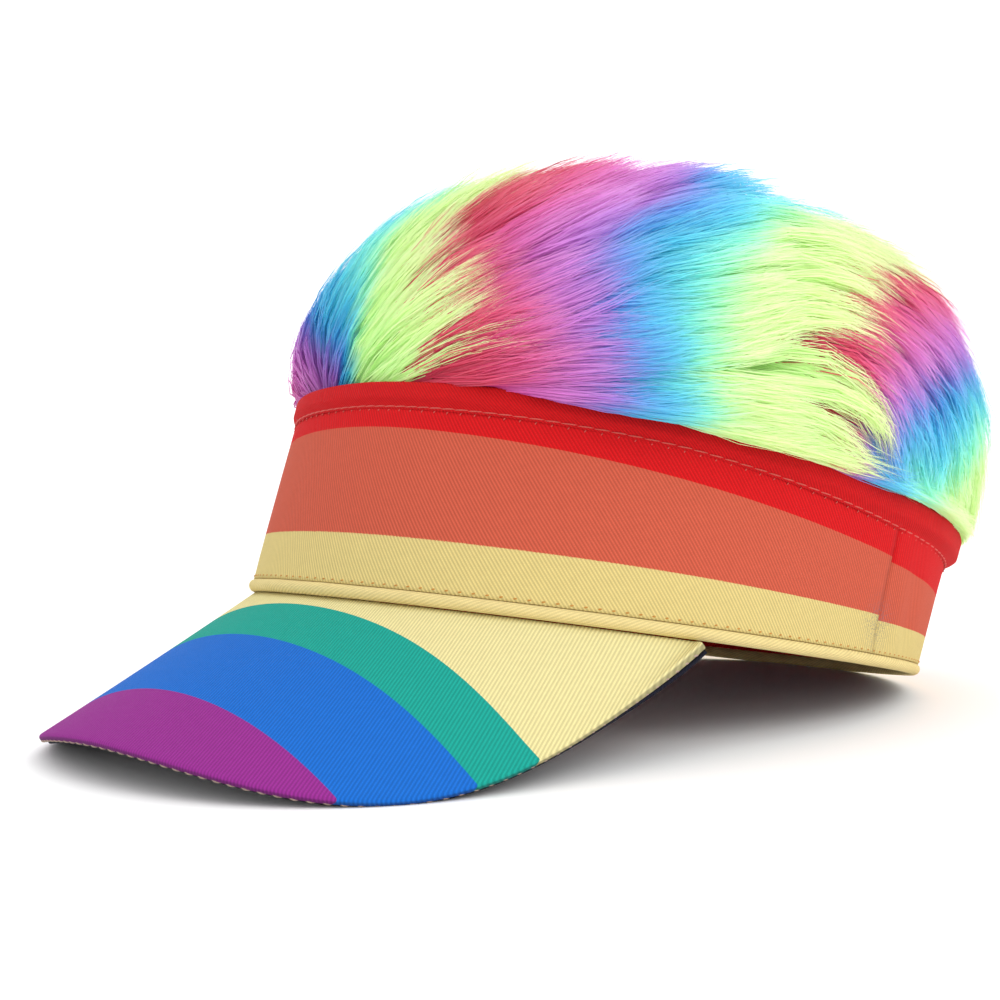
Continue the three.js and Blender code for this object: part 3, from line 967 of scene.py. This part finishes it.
def roll():
    angle = around_angles(300)
    turns = 2 * math.pi * np.arange(14) / 14
    up = ROLL_SEEN_HEIGHT / 2 * (1 + np.cos(turns))[None, :] + 0 * angle[:, None]
    wrinkle = 0.12 * MM * np.sin(np.radians(angle * 24))[:, None]
    out = ROLL_PROUD - ROLL_THICKNESS / 2 + (ROLL_THICKNESS / 2 + wrinkle) * np.sin(turns)[None, :]
    sections = band_point(angle[:, None] + 0 * up, up, out)
    across = np.linspace(0, ROLL_SEEN_HEIGHT * math.pi, len(turns) + 1)
    return loft("roll", sections, True, ring_lengths(angle), across[None, :])


put(tape(), "tape_twill", twill("tape twill", plain(CLOTH_RED), TWILL_LEAN), "upper_tape")
# The roll's lighter yellow paints a highlight along its top
roll_twill = twill("roll twill", plain(HIGHLIT_ROLL_YELLOW), ROLL_LEAN, contrast=0.16)
put(roll(), "roll_twill", roll_twill, "lower_roll")


# Stitches


def stitches(name, centres, directions, normals, material, slot, sides=6):
    """One joined mesh of threads that dip in at both ends."""
    length, thickness = STITCHES[name]["length"] * MM, STITCHES[name]["thick"] * MM
    rings = np.linspace(-1, 1, 5)
    turns = 2 * math.pi * np.arange(sides) / sides
    side = unit(np.cross(directions, normals))
    size = np.sqrt(np.maximum(1 - (rings * 0.97) ** 2, 0.0)) ** 0.5
    path = centres[:, None] + directions[:, None] * (rings * length / 2)[None, :, None]
    path = path - normals[:, None] * (rings**2 * thickness * STITCH_DIP)[None, :, None]
    ring = side[:, None, None] * np.cos(turns)[None, None, :, None]
    ring = ring + normals[:, None, None] * np.sin(turns)[None, None, :, None]
    points = path[:, :, None] + ring * (size * thickness / 2)[None, :, None, None]
    count = len(centres)
    index = np.arange(count * len(rings) * sides).reshape(count, len(rings), sides)
    quads = quads_between(index[:, :-1], index[:, 1:])
    caps = np.vstack([index[:, 0], index[:, -1, ::-1]])
    obj = new_object(name, to_rest(points.reshape(-1, 3)), quads.tolist() + caps.tolist())
    smooth_outward(obj)
    return put(obj, slot, material)


def even_angles(pitch):
    """Angles round the band a stitch's pitch apart."""
    fine = np.linspace(-180, 180, 1441)
    lengths = arc_lengths(plan_point(fine))
    count = int(lengths[-1] / pitch)
    return np.interp(np.arange(count) * lengths[-1] / count, lengths, fine)


def band_stitches(name, up_of, material, slot):
    angle = even_angles(STITCHES[name]["pitch"] * MM)
    out = STITCHES[name]["out"] * MM
    step = 0.2
    centres = band_point(angle, up_of(angle), out)
    ahead = band_point(angle + step, up_of(angle + step), out)
    directions = unit(ahead - centres)
    rise = band_point(angle, up_of(angle) + MM, out) - centres
    directions = unit(directions + unit(rise) * STITCHES[name]["slant"])
    normals = unit(band_point(angle, up_of(angle), out + MM) - centres)
    return stitches(name, centres, directions, normals, material, slot)


salmon = thread_material("tape thread", SALMON_THREAD)
orange = thread_material("roll thread", ORANGE_THREAD)
tan = thread_material("peak thread", TAN_THREAD)


def tape_stitch_up(angle):
    return band_height(angle) - tape_column(angle, "stitch")


def under_tape_up(angle):
    return tape_stitch_up(angle) - TICKS_BELOW


def over_roll_up(angle):
    return ROLL_SEEN_HEIGHT + ROLL_STITCH_RISE + 0 * angle


band_stitches("tape_stitches", tape_stitch_up, salmon, "tape_twill")
band_stitches("tape_ticks", under_tape_up, salmon, "tape_twill")
band_stitches("roll_stitches", over_roll_up, orange, "roll_twill")


# Peak


def peak_layer(name, top, wall, inset):
    angle = np.linspace(-90, 90, 181)
    share = np.sin(np.radians(angle))
    span = peak_face(share, np.ones_like(share)) - peak_face(share, np.zeros_like(share))
    length = np.maximum(np.linalg.norm(span, axis=1), MM)
    edge = 1 - np.minimum(inset / length, 0.4)
    shoulder = edge - np.minimum(wall / 2 / length, 0.2)
    steps = np.linspace(0, 1, 31)
    along = [step * shoulder for step in steps]
    down = [top + 0 * share for _ in steps]
    for turn in np.linspace(0, math.pi, 8)[1:-1]:
        along.append(shoulder + (edge - shoulder) * math.sin(turn))
        down.append(top + wall / 2 * (1 - math.cos(turn)) + 0 * share)
    for step in steps[::-3]:
        along.append(step * shoulder)
        down.append(top + wall + 0 * share)
    along, down = np.array(along).T, np.array(down).T
    sections = peak_point(share[:, None], along, down)
    closed = np.concatenate([sections, sections[:, :1]], 1)
    low = (down - top) / wall
    return loft(name, sections, False, closed[..., 0], closed[..., 1] * PEAK_STRETCH, low)


def press_flat(obj):
    """What would lie under the floor is pressed up to it."""
    co = np.zeros(len(obj.data.vertices) * 3)
    obj.data.vertices.foreach_get("co", co)
    co = co.reshape(-1, 3)
    co[:, 2] = np.maximum(co[:, 2], 0)
    obj.data.vertices.foreach_set("co", co.ravel())
    obj.data.update()


peak_stripes = arched(PEAK_STRIPES, [PEAK_PURPLE, PEAK_BLUE, PEAK_TEAL, PEAK_YELLOW])
peak_twill = twill("peak twill", peak_stripes, PEAK_LEAN)
cover = peak_layer("peak_top", 0, PEAK_COVER_WALL, 0)
put(cover, "peak_twill", peak_twill, "peak_cover")
underside_cloth = twill("underside cloth", plain(UNDERSIDE_NAVY), LINING_LEAN, LINING_PITCH, 0.3)
lining = peak_layer(
    "peak_lining",
    PEAK_COVER_WALL + FIT_GAP,
    PEAK_UNDERSIDE_WALL,
    PEAK_UNDERSIDE_INSET,
)
put(lining, "underside_cloth", underside_cloth, "peak_underside")


def peak_stitch_line():
    """Stitches along the folded edge, low on its outer side."""
    fine = np.sin(np.radians(np.linspace(-88, 88, 1200)))
    down = PEAK_COVER_WALL * PEAK_STITCH_DEPTH
    row = STITCHES["peak_stitches"]

    def edge(share):
        return peak_point(share, 1.0 + 0 * share, down + 0 * share)

    lengths = arc_lengths(edge(fine))
    count = int(lengths[-1] / (row["pitch"] * MM))
    share = np.interp((np.arange(count) + 0.5) * lengths[-1] / count, lengths, fine)
    centres = edge(share)
    directions = unit(edge(share + 0.001) - edge(share - 0.001))
    outward = unit(peak_outline(share) - peak_face(share, 0.9 + 0 * share))
    normals = unit(outward - directions * dot(outward, directions))
    drop = np.cross(directions, normals)
    directions = unit(directions + row["slant"] * drop)
    centres = centres + normals * row["out"] * MM
    return stitches("peak_stitches", centres, directions, normals, tan, "peak_twill")


peak_stitch_line()
for obj in list(bpy.context.scene.objects):
    if obj.type == "MESH" and obj.name in ("roll", "peak_top", "peak_lining", "peak_stitches"):
        press_flat(obj)


# Backing of the crown


def crown():
    angle = around_angles(120)
    shares = np.linspace(0, 1, 26)

    def shell(depth, hem):
        foot = band_point(angle, band_height(angle) - hem, -CROWN_INSET - depth)[None]
        rings = [crown_point(angle, share, depth)[None] for share in shares]
        return np.concatenate([foot, *rings])

    outer = shell(0, CROWN_HEM)
    inner = shell(CROWN_WALL, CROWN_HEM)[::-1]
    sections = np.concatenate([outer, inner]).transpose(1, 0, 2)
    across = arc_lengths(sections[0])
    across = np.append(across, across[-1] + MM)
    return loft("backing", sections, True, ring_lengths(angle), across[None, :])


put(crown(), "backing_knit", knit_material("backing knit", BACKING_GREY), "crown_backing")


# Fur

rng = np.random.default_rng(SEED)


def tinted(obj, colours):
    layer = obj.data.attributes.new("tint", "FLOAT_COLOR", "POINT")
    data = np.concatenate([colours, np.ones((len(colours), 1))], 1)
    layer.data.foreach_set("color", data.ravel())


def wave_noise(points, scale, seed):
    """A smooth field from a few waves, about -1 to 1."""
    field = np.random.default_rng(seed)
    total = np.zeros(points.shape[:-1])
    for _ in range(5):
        direction = unit(field.normal(size=3))
        total += np.sin(points @ direction * scale * field.uniform(0.6, 1.6) + field.uniform(0, 7))
    return total / 3


def pile():
    """The dense pile under the locks, in their dye made darker as painted shade under the hairs."""
    angle = around_angles(200)
    shares = np.linspace(0, 1, 44)
    edge = band_point(angle, band_height(angle) + SEAM_GAP, 0)
    rows = [outwards(edge)] + [outwards(crown_point(angle, share, 0)) for share in shares]
    outer = []
    for i, direction in enumerate(rows):
        deep = PILE_DEPTH + 0.07 * wave_noise(direction, 40, 3)
        outer.append(fur_point(direction, mix(0.03, deep, smooth(i, 1, 12))))
    inner = [crown_point(angle, share, -FIT_GAP) for share in shares[::-3]]
    sections = np.concatenate([np.array(outer), np.array(inner)]).transpose(1, 0, 2)
    obj = loft("fur_pile", sections, True)
    flat = sections.reshape(-1, 3)
    # The dye is darkened to 0.85 as painted shade under the hairs
    tinted(obj, dye_colour(dye_share(flat)) * 0.85)
    return obj


# The pile's shade of 0.9 darkens it further, as painted shade
put(pile(), "faux_fur", fur_material("fur pile", 0.8, 0.9, 0.1), "fur_locks")


def roots(count, generator):
    """Points scattered evenly over the backing."""
    tries = count * 12
    angle = generator.uniform(-180, 180, tries)
    share = generator.uniform(0, 1, tries)
    thick = 1 + EDGE_THICKNESS * np.exp(-share / 0.06)
    even = np.cos(share * math.pi / 2) ** 0.8
    keep = generator.uniform(0, 1, tries) < even * thick / (1 + EDGE_THICKNESS)
    angle, share = angle[keep][:count], share[keep][:count]
    return crown_point(angle, share, 0)


def guides(root, length, lean, depth_end):
    """Paths of locks combed over the fur's form, as points from root to tip."""
    place = root.copy()
    walked = 0.0
    path = []
    for row in HAIR_TABLE:
        way = combing(place)
        side = np.cross(way, outwards(place))
        bend = lean * math.cos(2.2 * row["along"])
        way = unit(way + side * bend[:, None])
        place = place + way * (length * (row["along"] - walked))[:, None]
        walked = row["along"]
        depth = row["depth"] * depth_end * edge_share(place) * trimmed(place)
        path.append(fur_point(outwards(place), depth))
        place = path[-1]
    return np.stack(path, 1)


def edge_share(points):
    """How full the fur is: less close above the tape, over a longer way behind."""
    height = above_hang(points) - FUR_HANG
    sides = mix(SIDE_FILL, 1.0, fade(height, "side_edge"))
    behind = mix(BACK_FILL, 1.0, fade(height, "back_edge"))
    return mix(sides, behind, fade(along_cap(points), "behind"))


def trimmed(points):
    """How full the fur is: less low on the nape and at the front corner of the wearer's right."""
    along = along_cap(points)
    behind = mix(1.0, NAPE_FILL, fade(above_hang(points), "nape_low") * fade(along, "nape"))
    aside = smooth(points[..., 0], CORNER_START, CORNER_END)
    corner = mix(1.0, CORNER_FILL, aside * fade(along, "front"))
    return behind * corner


def shortened(root, length, lean, depth_end):
    """Guides whose tips stay above the line that the fur may hang to."""
    for _ in range(10):
        path = guides(root, length, lean, depth_end)
        low = above_hang(path[:, -1]) < 0
        length = np.where(low, np.maximum(length * 0.84, 9 * MM), length)
    return guides(root, length, lean, depth_end)


def nearest(points, targets):
    result = np.zeros(len(points), int)
    for start in range(0, len(points), 4000):
        chunk = points[start : start + 4000]
        gap = ((chunk[:, None] - targets[None]) ** 2).sum(-1)
        result[start : start + 4000] = gap.argmin(1)
    return result


def gathered(root, parent_root, parent_path, hold):
    """Paths that start at their own roots and close in on their parent's path."""
    spread = 1 - hold[:, None] * HAIR_STEPS[None, :] ** 0.8
    return parent_path + (root - parent_root)[:, None] * spread[..., None]


def wisp_shares(root, path):
    """The dye of each wisp, taken where it comes to the surface: near its root by the tape."""
    height = above_hang(root) - FUR_HANG
    brow = mix(*BROW_SURFACING, fade(height, "brow_dye"))
    behind = mix(*LATE_SURFACING, fade(height, "late_dye"))
    surfaced = mix(brow, behind, fade(along_cap(root), "past_brow"))
    shares = dye_share(path)
    return np.array([np.interp(at, HAIR_STEPS, line) for at, line in zip(surfaced, shares)])


lock_roots = roots(LOCKS, rng)
lock_lean = 0.28 * wave_noise(lock_roots, 60, 5) + rng.normal(0, 0.12, LOCKS)
lock_length = HAIR_LENGTH * rng.uniform(0.85, 1.15, LOCKS)
lock_paths = shortened(lock_roots, lock_length, lock_lean, 1.0)

wisp_roots = roots(WISPS, rng)
owner = nearest(wisp_roots, lock_roots)
wisp_lean = lock_lean[owner] + rng.normal(0, 0.16, WISPS)
wisp_length = lock_length[owner] * rng.uniform(0.72, 1.12, WISPS)
wisp_end = rng.uniform(0.7, 1.0, WISPS)
own_paths = shortened(wisp_roots, wisp_length, wisp_lean, wisp_end)
held = gathered(wisp_roots, lock_roots[owner], lock_paths[owner], np.full(WISPS, 0.75))
wisp_paths = mix(own_paths, held, 0.45 * HAIR_STEPS[None, :, None])
wisp_dye = wisp_shares(wisp_roots, wisp_paths)


def both_sides(values):
    """A value for each point of a hair, given to both sides of the ribbon and to its one tip."""
    return np.concatenate([np.repeat(values[:, :-1], 2, axis=1), values[:, -1:]], 1)


def hairs(name, count, seed, material):
    """One mesh of tapered ribbons, each hair held by its wisp."""
    own = np.random.default_rng(seed)
    root = roots(count, own)
    wisp = nearest(root, wisp_roots)
    hold = own.uniform(0.0, 0.7, count)
    path = gathered(root, wisp_roots[wisp], wisp_paths[wisp], hold)
    steps = HAIR_STEPS
    drift = own.normal(0, 1, (count, 1, 3)) * HAIR_DRIFT
    wave = own.normal(0, 1, (count, 1, 3)) * HAIR_WAVE
    curl = np.sin(steps * 7 + own.uniform(0, 6, (count, 1)))[..., None]
    share = steps[None, :, None]
    path = path + drift * share**1.5 + wave * curl * share
    edge = mix(0.5, 2.0, smooth(path[..., 1], -40 * MM, -80 * MM)) * MM
    kept = own.uniform(0.55, 1.0, (count, 1))
    path[..., 2] += kept * np.maximum(edge - above_hang(path), 0)
    tangent = unit(np.gradient(path, axis=1))
    normal = outwards(path)
    side = unit(np.cross(tangent, normal))
    face = np.cross(side, tangent)
    tilt = own.normal(0, HAIR_TILT, (count, 1, 1))
    side = side * np.cos(tilt) + face * np.sin(tilt)
    width = HAIR_WIDTH * own.uniform(0.6, 1.3, count)
    taper = table_column(HAIR_TABLE, "width")
    half = side * (width[:, None] * taper[None, :] / 2)[..., None]
    left, right = path - half, path + half
    body = np.stack([left[:, :-1], right[:, :-1]], 2).reshape(count, -1, 3)
    points = np.concatenate([body, path[:, -1:]], 1)
    per = points.shape[1]
    base = (np.arange(count) * per)[:, None]
    segments = HAIR_POINTS - 2
    quads = np.array([[2 * i, 2 * i + 1, 2 * i + 3, 2 * i + 2] for i in range(segments)])
    last = np.array([2 * segments, 2 * segments + 1, 2 * segments + 2])
    loops = np.concatenate([base + quads.ravel()[None], base + last[None]], 1).ravel()
    sizes = np.tile([4] * segments + [3], count)
    starts = np.concatenate([[0], np.cumsum(sizes)[:-1]])
    mesh = bpy.data.meshes.new(name)
    mesh.vertices.add(count * per)
    mesh.vertices.foreach_set("co", to_rest(points.reshape(-1, 3)).ravel())
    mesh.loops.add(len(loops))
    mesh.loops.foreach_set("vertex_index", loops.astype(np.int32))
    mesh.polygons.add(len(sizes))
    mesh.polygons.foreach_set("loop_start", starts.astype(np.int32))
    mesh.update(calc_edges=True)
    mesh.polygons.foreach_set("use_smooth", np.ones(len(sizes), bool))
    soft = unit(mix(np.cross(side, tangent), outwards(path), SOFT_SHADING))
    soft = both_sides(soft).reshape(-1, 3)
    mesh.normals_split_custom_set_from_vertices(pitched(soft))
    obj = linked(name, mesh)
    dyed = (wisp_dye[wisp] + own.normal(0, 0.012, count))[:, None]
    first = np.floor(dyed)
    local = np.clip(dye_share(path), first, first + LAST_DYE)
    tint = dye_colour(mix(np.clip(dyed, first, first + LAST_DYE), local, LOCAL_DYE))
    light = own.uniform(0.9, 1.1, count)[:, None, None]
    # Darker roots and lighter, paler tips are painted shade, a painted highlight and a painted sheen
    shade = table_column(HAIR_TABLE, "shade")
    pale = table_column(HAIR_TABLE, "pale")
    colours = tint * light * shade[None, :, None]
    colours = mix(colours, 1.0, pale[None, :, None])
    tinted(obj, np.clip(both_sides(colours), 0, 1).reshape(-1, 3))
    return put(obj, "faux_fur", material)


strand_material = fur_material("fur hairs", 0.42, 1.0, 0.3)
for number in range(HAIR_MESHES):
    hairs("fur_hairs_%d" % (number + 1), HAIRS_PER_MESH, SEED + 1 + number, strand_material)


# Stage, light and camera


def pale_floor():
    turns = np.linspace(0, 2 * math.pi, 97)[:-1]
    rim = stacked(FLOOR_RADIUS * np.cos(turns), FLOOR_RADIUS * np.sin(turns), 0.0)
    obj = new_object("floor", rim, [list(range(len(rim)))])
    material, tree = new_material("pale floor")
    stops = list(enumerate(FLOOR_WHITES))
    inputs = {"Base Color": ramp(tree, noise(tree, 2.0), stops), "Roughness": 0.9}
    finish_material(tree, None, 0, inputs)
    obj.data.materials.append(material)
    obj.location.z = -FLOOR_DROP


def lay(obj, axes, place):
    """An object turned to three axes and moved to its place."""
    matrix = np.eye(4)
    matrix[:3, :3] = np.column_stack(axes)
    matrix[:3, 3] = place
    obj.matrix_world = Matrix(matrix.tolist())


def key_light():
    light = bpy.data.lights.new("key", "AREA")
    light.shape = "DISK"
    light.size = KEY_SIZE
    light.energy = KEY_POWER
    obj = linked("key", light)
    place = np.array(KEY_PLACE)
    back = unit(place - np.array(KEY_TARGET))
    side = unit(np.cross(UP, back))
    lay(obj, [side, np.cross(back, side), back], place)


def white_world():
    world = bpy.data.worlds.new("white")
    world.use_nodes = True
    bpy.context.scene.world = world
    tree = world.node_tree
    background = tree.nodes["Background"]
    direction = add(tree, "ShaderNodeTexCoord").outputs["Generated"]
    towards = add(tree, "ShaderNodeVectorMath", {"operation": "DOT_PRODUCT"}, {0: direction, 1: DIM_SIDE})
    dimmest = WORLD_LIGHT * DIM_SHARE
    dim = smooth_range(tree, towards.outputs["Value"], 0.0, DIM_FULL, WORLD_LIGHT, dimmest)
    tree.links.new(dim, background.inputs["Strength"])
    background.inputs["Color"].default_value = (1, 1, 1, 1)


def place_camera():
    azimuth, elevation, roll_turn = np.radians([CAMERA_AZIMUTH, CAMERA_ELEVATION, CAMERA_ROLL])
    level = np.array([math.sin(azimuth), -math.cos(azimuth), 0])
    back = level * math.cos(elevation) + UP * math.sin(elevation)
    right = np.array([math.cos(azimuth), math.sin(azimuth), 0])
    rise = np.cross(back, right)
    turned_right = right * math.cos(roll_turn) + rise * math.sin(roll_turn)
    turned_rise = -right * math.sin(roll_turn) + rise * math.cos(roll_turn)
    data = bpy.data.cameras.new("camera")
    data.sensor_width = 36
    data.lens = CAMERA_LENS
    data.shift_x, data.shift_y = CAMERA_SHIFT
    data.clip_start = 0.01
    obj = linked("camera", data)
    axes = [pitched(v) for v in (turned_right, turned_rise, back)]
    lay(obj, axes, to_rest(back * CAMERA_DISTANCE))
    bpy.context.scene.camera = obj


pale_floor()
white_world()
key_light()
place_camera()
bpy.context.scene.view_settings.view_transform = "Standard"
